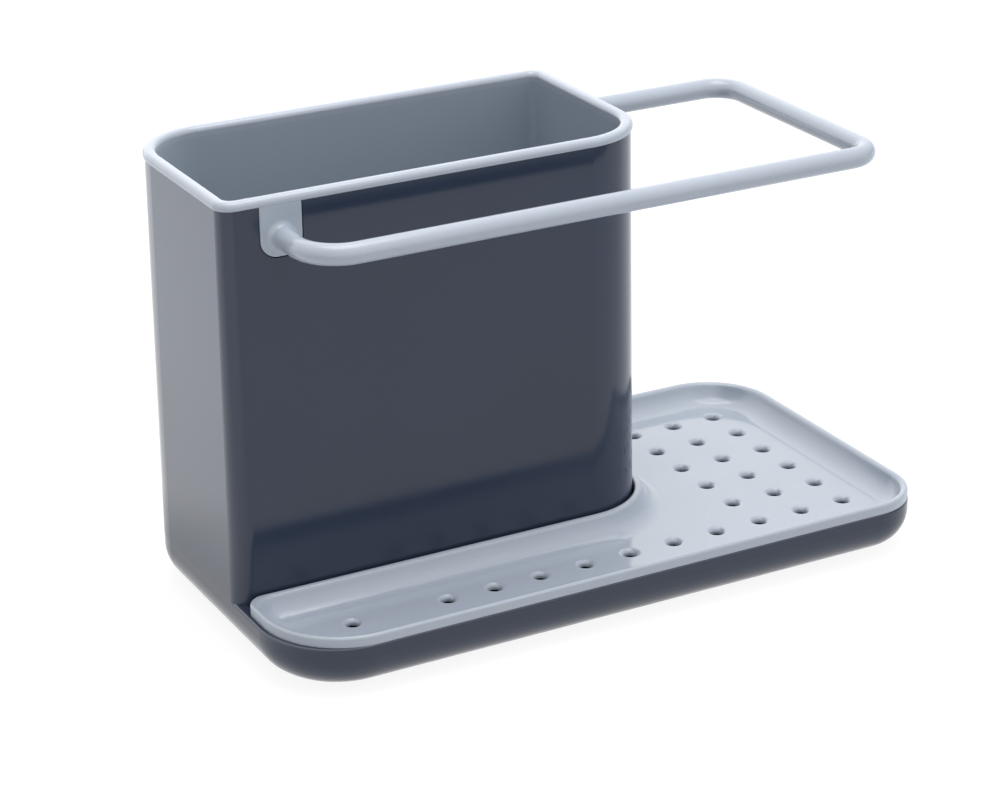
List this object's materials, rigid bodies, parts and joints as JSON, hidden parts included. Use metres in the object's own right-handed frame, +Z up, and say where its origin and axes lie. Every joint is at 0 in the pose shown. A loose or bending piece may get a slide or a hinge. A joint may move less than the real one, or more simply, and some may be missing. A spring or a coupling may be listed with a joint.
{
  "type": "kitchen sink caddy",
  "caption": "Sink caddy: a dark casing with a tall tower, a lift-out liner with a cloth rail, and a lift-out drain tray over a reservoir.",
  "frame": {"origin": "on the surface the caddy stands on, under the middle of its base", "axes": "+X along the length, towards the wide end of the drain tray; +Y to the back, where the tower is flush with the base; +Z up"},
  "size_m": [0.2054, 0.109, 0.131],
  "materials": {
    "dark_plastic": "polished",
    "pale_plastic": "satin",
    "pad_rubber": "matte"
  },
  "bodies": {
    "casing": {"casing": "dark_plastic", "pad_front_left": "pad_rubber", "pad_back_left": "pad_rubber", "pad_front_right": "pad_rubber", "pad_back_right": "pad_rubber"},
    "insert": {"insert": "pale_plastic"},
    "drain_tray": {"drain_tray": "pale_plastic"}
  },
  "joints": [
    {"name": "insert_lift", "type": "slide", "parent": "casing", "child": "insert", "axis": [0, 0, 1], "range_m": [0, 0.125]},
    {"name": "tray_lift", "type": "slide", "parent": "casing", "child": "drain_tray", "axis": [0, 0, 1], "range_m": [0, 0.05]}
  ]
}
